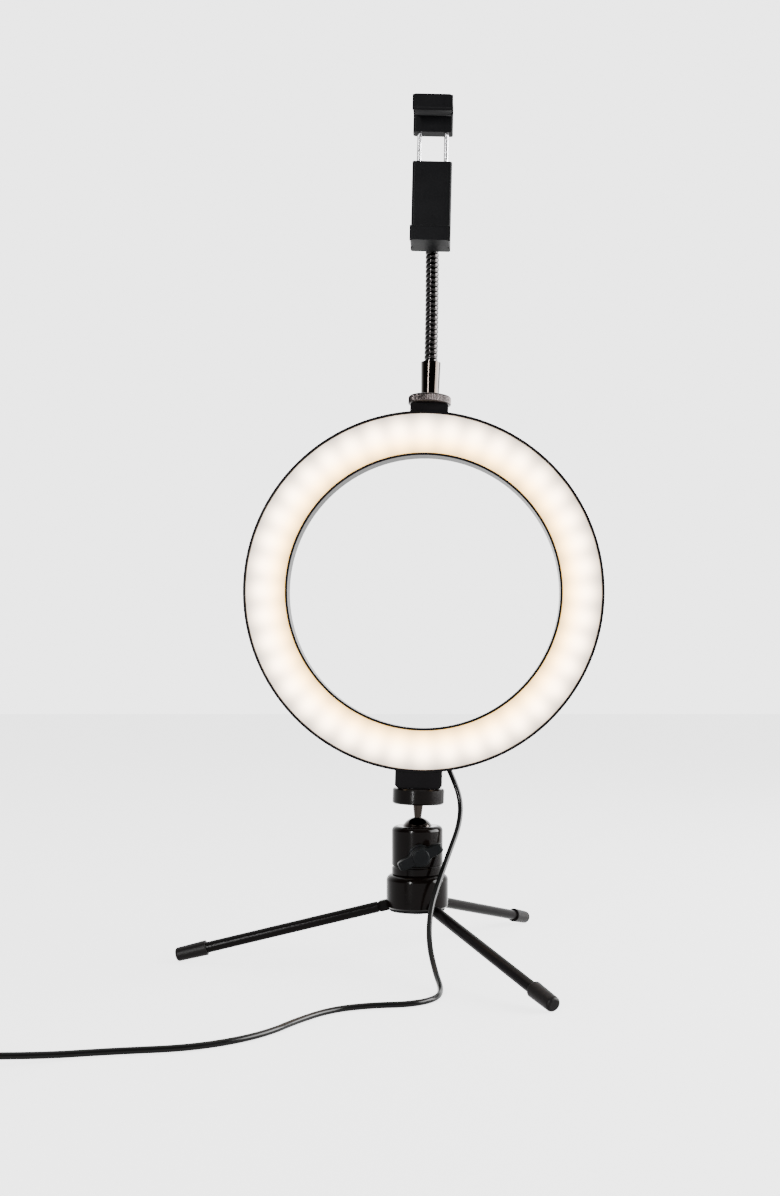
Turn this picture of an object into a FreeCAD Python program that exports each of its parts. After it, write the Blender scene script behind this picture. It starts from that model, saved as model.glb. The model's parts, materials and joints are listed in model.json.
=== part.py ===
import FreeCAD, Part
import math
import os

# A 200 mm USB ring light on a folding mini tripod, with a ball head under the ring
# and a spring phone clamp on a gooseneck above it. Millimetres, +Z up, +Y behind the
# ring. The origin is on the tripod's axis, on the surface that the feet stand on.

V = FreeCAD.Vector
X_AXIS = V(1, 0, 0)
Y_AXIS = V(0, 1, 0)
Z_AXIS = V(0, 0, 1)

# ---- driving dimensions -------------------------------------------------------
touch = 0.0            # faces of one body that meet
running = 0.05         # radial clearance of a pin, stem or thread in its hole
free_gap = 0.3         # between pieces that move past each other
screw_clear = 0.2      # round a screw that passes through without its thread holding
small_edge = 0.4       # edges broken by hand size tools

# tripod hub and its legs
hub_r = 17.2
hub_bottom_z = 30.0
hub_height = 18.3
hub_shoulder_r = 3.2
hub_chamfer = 0.8
hub_plate_r = 15.4
hub_plate_t = 1.6
pivot_r = 12.5         # hinge pin of a leg, from the axis
pivot_z = 32.2
pin_r = 1.25
pin_length = 9.0
tongue_t = 3.2         # the leg's flattened root
tongue_half = 3.0
tongue_length = 8.0
tongue_side_gap = 0.2
leg_tube_r = 3.05
leg_wall = 0.8
leg_taper = 1.6        # from the flattened root to the round tube
leg_plug = 2.0         # solid length at the tube's upper end
leg_length = 124.9     # from the hinge pin to the end of the foot
leg_angles = {"left": 180.7, "rear": 60.7, "front": -59.3}
foot_length = 17.5
foot_mouth_r = 4.2
foot_tip_r = 3.8
foot_edge_r = 1.6
foot_end_t = 2.5
hub_screw_r = 3.1      # a quarter inch tripod screw
hub_screw_head_r = 4.6
hub_screw_head_t = 2.2
hub_screw_edge = 0.7
driver_slot_w = 1.2
driver_slot_depth = 1.0

# ball head
head_r = 14.2
head_base_t = 4.4
head_base_chamfer = 0.5
head_groove = 0.7
head_groove_depth = 0.8
head_spigot_r = 11.8
head_spigot_t = 2.0
head_top_z = 75.2
head_rim_r = 2.6
ball_z = 70.8
ball_r = 9.3
seat_wall = 1.24
seat_cap_deg = 50.0
seat_play = 0.06
cavity_clear = 0.3
collar_t = 2.5
collar_gap = 0.1       # between the collar's round seat and the ball
collar_lip = 1.0       # how far the collar reaches over the ball's widest part
lock_z = 60.4
lock_azimuth = -83.0
lock_screw_r = 2.5
shoe_r = 2.7
shoe_length = 6.0
shoe_recess = 0.3      # how far the shoe's way goes into the cavity's wall
lock_travel = 0.5
knob_boss_r = 6.2
knob_boss_length = 10.0
knob_wing_span = 26.0
knob_wing_t = 5.6
knob_wing_depth = 7.5
knob_turn_deg = 25.0
knob_off_housing = 0.6
knob_boss_taper = 0.8
knob_boss_edge = 1.0
knob_wing_side_r = 2.4
knob_wing_edge = 0.9
knob_cover = 3.0       # plastic over the end of the screw
stem_foot_r = 2.1
stem_top_r = 2.9
stem_spigot_r = 2.0
stem_spigot_length = 7.0
stem_clear_of_ball = 0.15
stem_shoulder = 1.2
stem_shoulder_t = 0.4
disc_bottom_z = 87.5
disc_t = 8.6
disc_r = 14.4
disc_chamfer = 0.7
stud_r = 3.1
stud_grip = 7.0        # how far a stud goes into a block

# ring
lean_deg = 1.65        # the ring leans to the right on its ball
ring_r = 100.0
ring_hole_r = 75.5
ring_depth = 14.0
ring_wall = 1.3
ring_back_t = 1.8
ring_back_edge_r = 3.0
ring_over_block = 9.0  # height of the lower block under the ring
disc_gap = 0.1
block_width = 26.0
block_depth = 12.4
block_chamfer = 1.6
top_block_width = 21.0
top_block_over = 4.4
insert_r = 4.3
insert_length = 7.6
block_into_ring = 8.0  # what of a block is cut away to the ring's curve
reflector_t = 0.6
reflector_clear = 0.2
upper_insert_cover = 0.6
board_t = 1.2
board_margin = 1.3     # from the reflector's walls
led_count = 40
led_warm_r = 82.6
led_cool_r = 92.4
led_along = 3.5
led_across = 2.8
led_t = 0.8
diffuser_t = 1.6
diffuser_inset = 0.4
diffuser_clear = 0.15
diffuser_edge = 0.3
shell_screw_count = 6
shell_screw_r = 1.0
shell_screw_head_r = 2.0
shell_screw_head_t = 1.0
shell_screw_grip = 0.8
shell_screw_first_deg = 30.0
gland_width = 10.0
gland_height = 9.0
gland_depth = 6.0
relief_length = 5.0
relief_r = 2.6
relief_wall = 0.4
gland_side_r = 1.5
gland_edge = 1.2

# gooseneck and its ends
nut_r = 11.9
nut_t = 4.6
nut_bore_gap = 0.1
nut_chamfer = 0.5
ferrule_foot_r = 5.0
ferrule_top_r = 5.55
ferrule_length = 20.5
neck_r = 3.8
neck_length = 66.5
neck_links = 4
neck_bend_deg = 25.0   # each link on the next
neck_joint_gap = 0.08
knuckle_r = 4.8
knuckle_height = 15.0
knuckle_stud_up = 9.5  # height of the ball stud on the knuckle

# phone clamp
clamp_lean_deg = 1.3
clamp_ball_r = 4.5
clamp_ball_y = -10.6
clamp_neck_r = 1.9
liner_wall = 0.7
liner_play = 0.05
liner_cap_deg = 60.0
collar_nut_r = 7.4
collar_nut_front = 3.4
collar_nut_back = 2.6
boss_r = 6.4
clamp_back_y = -14.6
clamp_body_t = 6.0
clamp_width = 21.6
clamp_below_ball = 20.5
clamp_above_ball = 26.5
jaw_t = 5.0
jaw_reach = 12.0
jaw_lip = 1.6
jaw_lip_t = 2.4
pad_t = 1.5
phone_gap = 64.8
clamp_open_most = 19.0
clamp_close_most = 10.0
slider_height = 10.0
rod_r = 1.3
rod_spacing = 14.6
rod_bore_r = 2.2
rod_head_r = 2.0
rod_head_t = 2.0
spring_wall = 0.5
spring_clear = 0.15
spring_end_gap = 0.05
clamp_side_r = 1.6
jaw_edge = 2.0
lip_edge = 1.1
boss_depth = 6.0
boss_back_off = 0.6    # the boss ends this far in front of the ball's centre
ball_socket_gap = 0.1
rod_cover = 2.0        # what closes the base over the rods' bores
pad_inset = 1.0

# cord, its controller and its plug
cord_r = 1.5
cord_points = [
    V(15.2, 10.1, 110.8), V(20.3, 10.4, 100.2), V(24.4, 8.8, 87.5), V(23.4, 1.5, 75.0),
    V(17.8, -9.0, 61.0), V(12.4, -19.0, 46.5), V(8.0, -29.0, 33.0), V(7.6, -43.5, 18.5),
    V(11.6, -60.0, 6.3), V(15.2, -77.0, 1.65), V(13.2, -95.0, 1.52), V(1.5, -106.0, 1.55),
    V(-17.0, -107.6, 1.5), V(-34.5, -115.5, 1.55), V(-47.5, -133.0, 1.5), V(-60.5, -160.0, 1.5),
    V(-85.0, -179.0, 1.55), V(-118.0, -184.0, 1.5), V(-146.0, -193.0, 2.1), V(-166.0, -203.0, 5.0),
]
cord_joins = (3, 6)    # the runs at whose middles two lengths of the cord meet
tail_points = [
    V(-221.4, -223.3, 5.0), V(-232.5, -228.6, 2.5), V(-239.2, -239.0, 2.0), V(-238.6, -252.0, 2.1),
]
lead_points = [
    V(-216.0, -274.6, 2.1), V(-205.0, -274.0, 2.0), V(-196.0, -269.5, 3.0), V(-189.0, -263.0, 3.9),
]
coil_centre = V(-222.0, -258.0, 0.6)
coil_turns_across = 3
coil_turns_high = 3
coil_inner_r = 12.0
coil_edge_r = 1.4      # of the bundle's rims
tie_width = 4.5
tie_t = 0.6
tie_azimuth = 20.0
controller_start = V(-166.0, -203.0, 0)
controller_length = 59.0
controller_width = 17.0
controller_height = 10.0
controller_split = 5.8
controller_wall = 1.4
controller_edge_r = 2.4
controller_turn = 200.1
button_names = ("power", "brighter", "dimmer")
button_spacing = 14.0
button_r = 4.2
button_proud = 0.9
button_travel = 0.6
button_under = 2.0
button_clear = 0.15
button_edge = 0.6
button_skirt = 0.6
button_skirt_t = 0.5
button_stem_r = 1.4
board_end_gap = 4.0
board_side_gap = 0.3
controller_board_t = 1.0
plug_turn = 40.0
plug_length = 22.0
plug_width = 15.0
plug_height = 7.6
plug_edge_r = 1.8
plug_shell_length = 12.0
plug_shell_width = 12.0
plug_shell_height = 4.5
plug_shell_wall = 0.35
plug_sleeve_length = 6.0
plug_sleeve_r = 3.0
plug_end_edge = 1.2

# ---- places that follow from them ---------------------------------------------
hub_top_z = hub_bottom_z + hub_height
head_body_z = hub_top_z + head_base_t + head_groove
disc_top_z = disc_bottom_z + disc_t
block_bottom_z = disc_top_z + disc_gap
ring_z = block_bottom_z + ring_over_block + ring_r
ring_front_y = -ring_depth / 2
ring_back_y = ring_depth / 2
top_block_top_z = ring_z + ring_r + top_block_over
nut_bottom_z = top_block_top_z + nut_bore_gap
ferrule_bottom_z = nut_bottom_z + nut_t
neck_bottom_z = ferrule_bottom_z + ferrule_length
ball_centre = V(0, 0, ball_z)


# ---- helpers --------------------------------------------------------------------
def rod(radius, height, base, axis=Z_AXIS):
    """A cylinder of that radius and height that starts at base."""
    return Part.makeCylinder(radius, height, base, axis)


def ring(outer, inner, height, base, axis=Z_AXIS):
    """A flat ring: a cylinder with a hole through it."""
    past = V(axis).multiply(height * 0.5)
    hole = rod(inner, height * 2, base.sub(past), axis)
    return rod(outer, height, base, axis).cut(hole)


def block(length, width, height, centre, bottom):
    """A box centred on centre.x and centre.y that stands on the height bottom."""
    corner = V(centre.x - length / 2, centre.y - width / 2, bottom)
    return Part.makeBox(length, width, height, corner)


def flat_edges(shape, level, direction=Z_AXIS, radius=None):
    """The edges that lie in the plane at that level along direction."""
    found = []
    for edge in shape.Edges:
        places = [v.Point.dot(direction) for v in edge.Vertexes]
        places += [edge.valueAt((edge.FirstParameter + edge.LastParameter) / 2).dot(direction)]
        if max(abs(p - level) for p in places) > 1e-4:
            continue
        if radius is None or (hasattr(edge.Curve, "Radius") and abs(edge.Curve.Radius - radius) < 1e-3):
            found.append(edge)
    return found


def edges_along(shape, direction):
    """The straight edges that run along direction."""
    straight = [e for e in shape.Edges if e.Curve.TypeId == "Part::GeomLine"]
    return [e for e in straight if abs(e.tangentAt(e.FirstParameter).dot(direction)) > 0.9999]


def turned(shape, centre, axis, angle):
    """A copy of the shape turned by an angle in degrees about an axis through centre."""
    copy = shape.copy()
    copy.rotate(centre, axis, angle)
    return copy


def leaned(shape):
    """A piece of the head, taken from upright to the way the ball holds it."""
    return turned(shape, ball_centre, Y_AXIS, lean_deg)


def along_leg(shape, angle):
    """A piece drawn along +X, turned to a leg's own direction."""
    return turned(shape, V(0, 0, 0), Z_AXIS, angle)


# ---- tripod ---------------------------------------------------------------------
def leg_slope():
    """The leg's angle below level, in degrees, at which its foot just touches the ground."""
    across = leg_length - foot_edge_r
    up = foot_tip_r - foot_edge_r
    drop = pivot_z - foot_edge_r
    return math.degrees(math.asin(drop / math.hypot(across, up)) - math.atan2(up, across))


def leg_slot(angle):
    """The space a leg's root swings in, with the pocket its pin drops into."""
    inner = pivot_r - tongue_half - free_gap
    roof = pivot_z + tongue_half + tongue_side_gap
    bottom = hub_bottom_z - hub_plate_t - 1
    width = tongue_t + 2 * tongue_side_gap
    space = Part.makeBox(hub_r, width, roof - bottom, V(inner, -width / 2, bottom))
    return along_leg(space, angle)


def pin_pocket(angle):
    bottom = hub_bottom_z - 0.01
    corner = V(pivot_r - pin_r, -pin_length / 2, bottom)
    pocket = Part.makeBox(2 * pin_r, pin_length, pivot_z - bottom, corner)
    hole = rod(pin_r, pin_length, V(pivot_r, -pin_length / 2, pivot_z), Y_AXIS)
    return along_leg(pocket.fuse(hole), angle)


def make_hub():
    hub = rod(hub_r, hub_height, V(0, 0, hub_bottom_z))
    hub = hub.makeFillet(hub_shoulder_r, flat_edges(hub, hub_top_z))
    hub = hub.makeChamfer(hub_chamfer, flat_edges(hub, hub_bottom_z))
    for angle in leg_angles.values():
        hub = hub.cut(leg_slot(angle))
        hub = hub.cut(pin_pocket(angle))
    hub = hub.cut(rod(hub_screw_r + screw_clear, hub_height + 2, V(0, 0, hub_bottom_z - 1)))
    return hub


def make_hub_plate():
    plate = ring(hub_plate_r, hub_screw_r + screw_clear, hub_plate_t, V(0, 0, hub_bottom_z - hub_plate_t))
    for angle in leg_angles.values():
        plate = plate.cut(leg_slot(angle))
    return plate


def make_hub_screw():
    seat_z = hub_bottom_z - hub_plate_t
    head = rod(hub_screw_head_r, hub_screw_head_t, V(0, 0, seat_z - hub_screw_head_t))
    head = head.makeFillet(hub_screw_edge, flat_edges(head, seat_z - hub_screw_head_t))
    slot_z = seat_z - hub_screw_head_t
    slot = block(2 * hub_screw_head_r, driver_slot_w, driver_slot_depth, V(0, 0, 0), slot_z)
    shank = rod(hub_screw_r, head_body_z + head_spigot_t - seat_z, V(0, 0, seat_z))
    return head.cut(slot).fuse(shank)


def make_leg_pins():
    pins = []
    for angle in leg_angles.values():
        pin = rod(pin_r, pin_length, V(pivot_r, -pin_length / 2, pivot_z), Y_AXIS)
        pins.append(along_leg(pin, angle))
    return Part.makeCompound(pins)


def place_leg(shape, angle):
    """From a leg drawn along +X from its hinge pin at the origin to its place under the hub."""
    sloped = turned(shape, V(0, 0, 0), Y_AXIS, leg_slope())
    sloped.translate(V(pivot_r, 0, pivot_z))
    return along_leg(sloped, angle)


def make_leg(angle):
    tube_start = tongue_length + leg_taper
    tube_end = leg_length - foot_end_t
    tongue = rod(tongue_half, tongue_t, V(0, -tongue_t / 2, 0), Y_AXIS)
    corner = V(0, -tongue_t / 2, -tongue_half)
    tongue = tongue.fuse(Part.makeBox(tongue_length, tongue_t, 2 * tongue_half, corner))
    neck_in = Part.Wire(Part.makePolygon([
        V(tongue_length, -tongue_t / 2, -tongue_half), V(tongue_length, tongue_t / 2, -tongue_half),
        V(tongue_length, tongue_t / 2, tongue_half), V(tongue_length, -tongue_t / 2, tongue_half),
        V(tongue_length, -tongue_t / 2, -tongue_half)]).Edges)
    half = leg_tube_r * math.sqrt(0.5) - 0.01
    neck_out = Part.Wire(Part.makePolygon([
        V(tube_start, -half, -half), V(tube_start, half, -half), V(tube_start, half, half),
        V(tube_start, -half, half), V(tube_start, -half, -half)]).Edges)
    neck = Part.makeLoft([neck_in, neck_out], True, True)
    tube = rod(leg_tube_r, tube_end - tube_start, V(tube_start, 0, 0), X_AXIS)
    hollow_start = tube_start + leg_plug
    tube = tube.cut(rod(leg_tube_r - leg_wall, tube_end - hollow_start, V(hollow_start, 0, 0), X_AXIS))
    leg = tongue.fuse(neck).fuse(tube)
    leg = leg.cut(rod(pin_r + running, tongue_t * 2, V(0, -tongue_t, 0), Y_AXIS))
    return place_leg(leg, angle)


def make_foot(angle):
    start = leg_length - foot_length
    cap = Part.makeCone(foot_mouth_r, foot_tip_r, foot_length, V(start, 0, 0), X_AXIS)
    cap = cap.makeFillet(foot_edge_r, flat_edges(cap, leg_length, X_AXIS))
    cap = cap.makeFillet(small_edge, flat_edges(cap, start, X_AXIS))
    bore = rod(leg_tube_r, foot_length - foot_end_t, V(start, 0, 0), X_AXIS)
    return place_leg(cap.cut(bore), angle)


# ---- ball head ------------------------------------------------------------------
def lock_side(shape):
    """A piece drawn along +X at the lock's height, turned to the side the knob is on."""
    return turned(shape, V(0, 0, 0), Z_AXIS, lock_azimuth)


cavity_r = ball_r + seat_play + seat_wall + cavity_clear
cavity_floor_z = ball_z - cavity_r
shoe_end = cavity_r - lock_travel
seat_outer_r = ball_r + seat_play + seat_wall


def make_head_base():
    disc = rod(head_r, head_base_t, V(0, 0, hub_top_z))
    rims = flat_edges(disc, hub_top_z) + flat_edges(disc, hub_top_z + head_base_t)
    disc = disc.makeChamfer(head_base_chamfer, rims)
    groove = rod(head_r - head_groove_depth, head_groove, V(0, 0, hub_top_z + head_base_t))
    spigot = rod(head_spigot_r, head_spigot_t, V(0, 0, head_body_z))
    bore = rod(hub_screw_r + running, 30, V(0, 0, hub_top_z - 1))
    return disc.fuse(groove).fuse(spigot).cut(bore)


def make_housing():
    height = head_top_z - head_body_z
    body = rod(head_r, height, V(0, 0, head_body_z))
    body = body.makeFillet(head_rim_r, flat_edges(body, head_top_z))
    body = body.makeChamfer(small_edge, flat_edges(body, head_body_z))
    body = body.cut(rod(head_spigot_r, head_spigot_t, V(0, 0, head_body_z)))
    body = body.cut(rod(cavity_r, height, V(0, 0, cavity_floor_z)))
    way_start = shoe_end - shoe_length - lock_travel
    way_length = cavity_r + shoe_recess - way_start
    shoe_way = rod(shoe_r + screw_clear, way_length, V(way_start, 0, lock_z), X_AXIS)
    thread = rod(lock_screw_r + running, head_r, V(cavity_r, 0, lock_z), X_AXIS)
    return body.cut(lock_side(shoe_way)).cut(lock_side(thread))


def make_collar():
    collar = rod(cavity_r, collar_t, V(0, 0, head_top_z - collar_t))
    mouth = rod(ball_r - collar_lip, collar_t * 2, V(0, 0, head_top_z - collar_t / 2))
    return collar.cut(Part.makeSphere(ball_r + collar_gap, ball_centre)).cut(mouth)


def make_seat():
    """A nylon cup under the ball: a shell between two spheres, cut off by a cone."""
    outer = Part.makeSphere(seat_outer_r, ball_centre)
    inner = Part.makeSphere(ball_r + seat_play, ball_centre)
    rim_z = ball_z - seat_outer_r * math.cos(math.radians(seat_cap_deg))
    below = rod(30, rim_z - ball_z + 30, V(0, 0, ball_z - 30))
    return outer.common(below).cut(inner)


def make_ball():
    bore_low_z = ball_z + ball_r - stem_spigot_length - screw_clear
    bore = rod(stem_spigot_r + running, 2 * ball_r, V(0, 0, bore_low_z))
    return leaned(Part.makeSphere(ball_r, ball_centre).cut(bore))


def make_stem():
    top_z = disc_bottom_z - stem_shoulder_t
    foot_z = ball_z + ball_r + stem_clear_of_ball - 0.1
    spigot = rod(stem_spigot_r, foot_z + 0.2 - (ball_z + ball_r - stem_spigot_length),
                 V(0, 0, ball_z + ball_r - stem_spigot_length))
    cone = Part.makeCone(stem_foot_r, stem_top_r, top_z - foot_z, V(0, 0, foot_z))
    shoulder = rod(stem_top_r + stem_shoulder, stem_shoulder_t, V(0, 0, top_z))
    stud = rod(stud_r, block_bottom_z + stud_grip - disc_bottom_z, V(0, 0, disc_bottom_z))
    return leaned(spigot.fuse(cone).fuse(shoulder).fuse(stud))


def make_lock_disc():
    disc = ring(disc_r, stud_r + running, disc_t, V(0, 0, disc_bottom_z + 0.02))
    low, high = disc_bottom_z + 0.02, disc_top_z + 0.02
    edges = flat_edges(disc, low, radius=disc_r) + flat_edges(disc, high, radius=disc_r)
    return leaned(disc.makeChamfer(disc_chamfer, edges))


def make_shoe():
    """The nylon shoe that the lock screw pushes against the cup."""
    shoe = rod(shoe_r, shoe_length, V(shoe_end - shoe_length, 0, lock_z), X_AXIS)
    shoe = lock_side(shoe)
    return shoe.cut(Part.makeSphere(seat_outer_r + collar_gap, ball_centre))


knob_start = head_r + knob_off_housing
screw_end = knob_start + knob_boss_length - knob_cover


def make_lock_screw():
    start = shoe_end + lock_travel + collar_gap
    return lock_side(rod(lock_screw_r, screw_end - start, V(start, 0, lock_z), X_AXIS))


def make_knob():
    small_r = knob_boss_r - knob_boss_taper
    boss = Part.makeCone(knob_boss_r, small_r, knob_boss_length, V(knob_start, 0, lock_z), X_AXIS)
    far = knob_start + knob_boss_length
    boss = boss.makeFillet(knob_boss_edge, flat_edges(boss, far, X_AXIS))
    wing = Part.makeBox(knob_wing_depth, knob_wing_span, knob_wing_t,
                        V(far - knob_wing_depth, -knob_wing_span / 2, lock_z - knob_wing_t / 2))
    wing = wing.makeFillet(knob_wing_side_r, edges_along(wing, X_AXIS))
    wing = wing.makeFillet(knob_wing_edge, flat_edges(wing, far, X_AXIS))
    knob = boss.fuse(wing).cut(rod(lock_screw_r, screw_end - knob_start, V(knob_start, 0, lock_z), X_AXIS))
    knob = turned(knob, V(0, 0, lock_z), X_AXIS, knob_turn_deg)
    return lock_side(knob)


# ---- ring -----------------------------------------------------------------------
def ring_band(outer, inner, front_y, back_y):
    """A flat ring round the lamp's centre, between two places along Y."""
    return ring(outer, inner, back_y - front_y, V(0, front_y, ring_z), Y_AXIS)


def round_the_ring(shape, count, first_deg=0.0):
    """Copies of a shape drawn over the ring's centre, spread evenly round it."""
    centre = V(0, 0, ring_z)
    return [turned(shape, centre, Y_AXIS, first_deg + 360.0 * n / count) for n in range(count)]


tray_outer_r = ring_r - ring_wall - reflector_clear
tray_inner_r = ring_hole_r + ring_wall + reflector_clear
tray_floor_y = ring_back_y - ring_back_t
diffuser_front_y = ring_front_y + diffuser_inset
diffuser_back_y = diffuser_front_y + diffuser_t
board_back_y = tray_floor_y - reflector_t
board_front_y = board_back_y - board_t
screw_circle_r = (ring_r + ring_hole_r) / 2


def shell_screw_shape(extra):
    """One screw of the ring's back over the centre, with that much added to its radius."""
    head_y = ring_back_y - shell_screw_head_t
    spot_z = ring_z + screw_circle_r
    end_y = board_front_y - shell_screw_grip
    shank = rod(shell_screw_r + extra, head_y - end_y, V(0, end_y, spot_z), Y_AXIS)
    head = rod(shell_screw_head_r + extra, shell_screw_head_t, V(0, head_y, spot_z), Y_AXIS)
    return shank.fuse(head)


def make_back_shell():
    shell = ring_band(ring_r, ring_hole_r, ring_front_y, ring_back_y)
    shell = shell.makeFillet(ring_back_edge_r, flat_edges(shell, ring_back_y, Y_AXIS))
    pocket = ring_band(ring_r - ring_wall, ring_hole_r + ring_wall, ring_front_y - 1, tray_floor_y)
    shell = shell.cut(pocket)
    for hole in round_the_ring(shell_screw_shape(running), shell_screw_count, shell_screw_first_deg):
        shell = shell.cut(hole)
    return leaned(shell)


def make_shell_screws():
    screws = []
    for screw in round_the_ring(shell_screw_shape(touch), shell_screw_count, shell_screw_first_deg):
        screws.append(leaned(screw))
    return Part.makeCompound(screws)


def make_reflector():
    tray = ring_band(tray_outer_r, tray_inner_r, diffuser_back_y, tray_floor_y)
    outer, inner = tray_outer_r - reflector_t, tray_inner_r + reflector_t
    tray = tray.cut(ring_band(outer, inner, diffuser_back_y - 1, board_back_y))
    for hole in round_the_ring(shell_screw_shape(running), shell_screw_count, shell_screw_first_deg):
        tray = tray.cut(hole)
    return leaned(tray)


def make_board():
    outer = tray_outer_r - reflector_t - board_margin
    inner = tray_inner_r + reflector_t + board_margin
    board = ring_band(outer, inner, board_front_y, board_back_y)
    for hole in round_the_ring(shell_screw_shape(running), shell_screw_count, shell_screw_first_deg):
        board = board.cut(hole)
    return leaned(board)


def make_leds():
    """A warm LED near the hole and a cool one outside it, at every step round the board."""
    half_step = 180.0 / led_count
    leds = []
    for pitch_r in (led_warm_r, led_cool_r):
        led = block(led_along, led_t, led_across, V(0, 0, 0), ring_z + pitch_r - led_across / 2)
        led.translate(V(0, board_front_y - led_t / 2, 0))
        for one in round_the_ring(led, led_count, half_step):
            leds.append(leaned(one))
    return Part.makeCompound(leds)


def make_diffuser():
    outer = ring_r - ring_wall - diffuser_clear
    inner = ring_hole_r + ring_wall + diffuser_clear
    sheet = ring_band(outer, inner, diffuser_front_y, diffuser_back_y)
    return leaned(sheet.makeChamfer(diffuser_edge, flat_edges(sheet, diffuser_front_y, Y_AXIS)))


def ring_core():
    return rod(ring_r, ring_depth * 2, V(0, -ring_depth, ring_z), Y_AXIS)


def make_lower_block():
    base = block(block_width, block_depth, ring_over_block + block_into_ring, V(0, 0, 0), block_bottom_z)
    corners = [e for e in flat_edges(base, block_bottom_z) if abs(e.CenterOfMass.x) > 1]
    base = base.makeChamfer(block_chamfer, corners)
    base = base.cut(ring_core())
    return leaned(base.cut(rod(insert_r, insert_length, V(0, 0, block_bottom_z))))


def make_upper_block():
    bottom = top_block_top_z - top_block_over - block_into_ring / 2
    base = block(top_block_width, block_depth, top_block_top_z - bottom, V(0, 0, 0), bottom)
    corners = [e for e in flat_edges(base, top_block_top_z) if abs(e.CenterOfMass.x) > 1]
    base = base.makeChamfer(block_chamfer / 2, corners)
    base = base.cut(ring_core())
    hole = rod(insert_r, top_block_over - upper_insert_cover, V(0, 0, ring_z + ring_r + upper_insert_cover))
    return leaned(base.cut(hole))


def make_inserts():
    lower = ring(insert_r, stud_r + running, insert_length, V(0, 0, block_bottom_z))
    upper_z = ring_z + ring_r + upper_insert_cover
    upper = ring(insert_r, stud_r + running, top_block_over - upper_insert_cover, V(0, 0, upper_z))
    return Part.makeCompound([leaned(lower), leaned(upper)])


def cord_start_direction():
    return cord_points[1].sub(cord_points[0]).normalize()


def make_gland():
    """The cord's outlet on the ring's back: a small housing and a tapered sleeve below it."""
    start = cord_points[0]
    out = cord_start_direction()
    house = block(gland_width, gland_depth, gland_height, V(0, 0, 0), 0)
    house = house.makeFillet(gland_side_r, edges_along(house, Y_AXIS))
    house = house.makeFillet(gland_edge, flat_edges(house, gland_depth / 2, Y_AXIS))
    house.rotate(V(0, 0, 0), Y_AXIS, math.degrees(math.atan2(-out.x, -out.z)))
    top = start.sub(V(out).multiply(relief_length))
    house.translate(V(top.x, ring_back_y + gland_depth / 2, top.z))
    sleeve = Part.makeCone(relief_r, cord_r + relief_wall, relief_length, top, out)
    return house.fuse(sleeve)


# ---- gooseneck ------------------------------------------------------------------
def tilt(angle):
    """The direction of an axis that leans to the right by an angle in degrees."""
    return V(math.sin(math.radians(angle)), 0, math.cos(math.radians(angle)))


def neck_joints():
    """The centre of each bend of the gooseneck, from its foot to the knuckle on its top."""
    step = neck_length / neck_links
    point = ball_centre.add(tilt(lean_deg).multiply(neck_bottom_z - ball_z))
    points = [point]
    for n in range(neck_links):
        point = point.add(tilt(neck_lean(n)).multiply(step))
        points.append(point)
    return points


def neck_lean(n):
    """The lean of a link: the neck comes back to upright from foot to top."""
    return lean_deg * (1 - (n + 1) / neck_links)


def make_top_nut():
    nut = ring(nut_r, stud_r + running, nut_t, V(0, 0, nut_bottom_z))
    rims = flat_edges(nut, nut_bottom_z, radius=nut_r) + flat_edges(nut, ferrule_bottom_z, radius=nut_r)
    return leaned(nut.makeChamfer(nut_chamfer, rims))


def make_ferrule():
    """The gooseneck's lower end: a stud that screws into the ring's top and a turned sleeve."""
    sleeve_z = ferrule_bottom_z + 0.1
    stud = rod(stud_r, sleeve_z - (ring_z + ring_r + 0.8), V(0, 0, ring_z + ring_r + 0.8))
    height = neck_bottom_z - neck_joint_gap - sleeve_z
    sleeve = Part.makeCone(ferrule_foot_r, ferrule_top_r, height, V(0, 0, sleeve_z))
    sleeve = sleeve.makeChamfer(0.8, flat_edges(sleeve, sleeve_z + height))
    top = cone_end(neck_bottom_z, ferrule_top_r + 1, -1)
    return leaned(stud.fuse(sleeve).cut(top))


def cone_end(level, radius, side):
    """What is taken off a link's end so that it can bend about the end's centre.

    The end is left as a blunt cone: side is 1 at a lower end and -1 at an upper one."""
    rise = radius * math.tan(math.radians(neck_bend_deg / 2 + 1.0))
    low = level if side > 0 else level - neck_joint_gap - rise
    slice_off = rod(radius, rise + neck_joint_gap, V(0, 0, low))
    if side > 0:
        return slice_off.cut(Part.makeCone(0.001, radius, rise, V(0, 0, level + neck_joint_gap)))
    return slice_off.cut(Part.makeCone(radius, 0.001, rise, V(0, 0, low)))


def make_link(n):
    step = neck_length / neck_links
    link = rod(neck_r, step, V(0, 0, 0))
    link = link.cut(cone_end(0, neck_r + 1, 1)).cut(cone_end(step, neck_r + 1, -1))
    link = turned(link, V(0, 0, 0), Y_AXIS, neck_lean(n))
    link.translate(neck_joints()[n])
    return link


neck_top = neck_joints()[-1]
clamp_ball = V(neck_top.x, clamp_ball_y, neck_top.z + knuckle_stud_up)


def make_knuckle():
    """The gooseneck's upper end, with the ball stud that carries the clamp."""
    body = rod(knuckle_r, knuckle_height, V(0, 0, 0))
    body = body.makeFillet(1.2, flat_edges(body, knuckle_height))
    body = body.cut(cone_end(0, knuckle_r + 1, 1))
    body.translate(neck_top)
    ball = Part.makeSphere(clamp_ball_r, clamp_ball)
    return body.fuse(ball).fuse(rod(clamp_neck_r, -clamp_ball_y, clamp_ball, Y_AXIS))


# ---- phone clamp: drawn upright over its ball, then leaned about it ----------------
def clamp_leaned(shape):
    return turned(shape, clamp_ball, Y_AXIS, clamp_lean_deg)


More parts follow.
